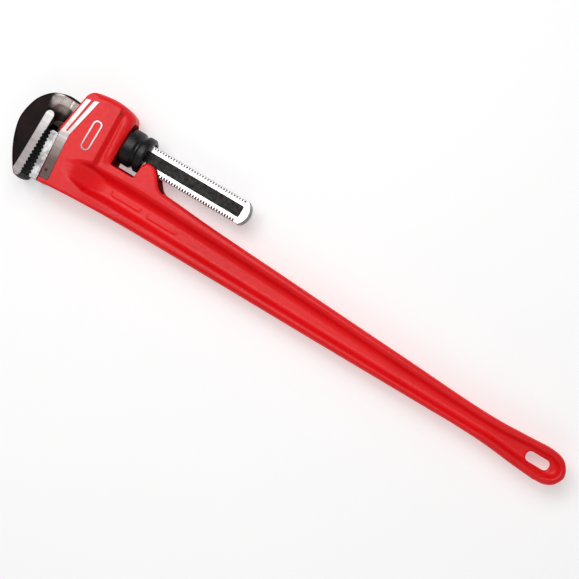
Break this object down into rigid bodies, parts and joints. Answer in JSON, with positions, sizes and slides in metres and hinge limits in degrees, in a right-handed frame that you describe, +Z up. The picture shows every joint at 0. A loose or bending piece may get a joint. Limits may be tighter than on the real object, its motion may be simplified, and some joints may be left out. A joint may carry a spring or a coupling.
{
  "type": "pipe wrench",
  "caption": "Heavy straight pipe wrench with an I-beam handle, a sliding toothed hook jaw moved by a round threaded nut, and a fixed heel jaw.",
  "frame": {"origin": "under the middle of the whole tool, in the plane that it lies on", "axes": "+X along the handle from the jaws to the hang slot, +Y towards the side of the nut and the hook jaw's shank, +Z up out of the side of the housing, as the tool lies on its side"},
  "size_m": [1.047, 0.192, 0.0676],
  "materials": {
    "red_casting": "ductile-iron casting in glossy red enamel with a light cast texture, ground bright on the raised stripe",
    "black_forging": "forged steel, black oxide, ground bright on the jaw's side strip and on the sides of the shank",
    "bright_steel": "hardened steel, ground, slightly mottled",
    "black_nut": "steel, black oxide, fine knurl",
    "pin_steel": "plain steel",
    "spring_steel": "tempered spring steel"
  },
  "bodies": {
    "housing": {"housing_handle": "red_casting", "heel_jaw": "bright_steel", "heel_jaw_pin": "pin_steel", "spring_pin": "pin_steel", "coil_spring": "spring_steel"},
    "jaw_spring": {"flat_spring": "spring_steel"},
    "hook": {"hook_jaw": "black_forging"},
    "nut": {"adjusting_nut": "black_nut"}
  },
  "joints": [
    {"name": "jaw_rock", "type": "hinge", "parent": "housing", "child": "jaw_spring", "pos_m": [-0.32575, 0.0405, 0.0338], "axis": [0, 0, 1], "range_deg": [-2, 0], "stiffness_Nm_per_rad": 60, "springref_deg": 5.73, "deforming": ["coil_spring"]},
    {"name": "jaw_travel", "type": "slide", "parent": "jaw_spring", "child": "hook", "axis": [-1, 0, 0], "range_m": [-0.0075, 0.162]},
    {"name": "nut_spin", "type": "hinge", "parent": "jaw_spring", "child": "nut", "pos_m": [-0.32575, 0.0405, 0.0338], "axis": [1, 0, 0], "range_deg": [-540, 11490]}
  ],
  "couplings": [
    {"joint": "nut_spin", "follows": "jaw_travel", "rad_per_m": 1236.8}
  ]
}
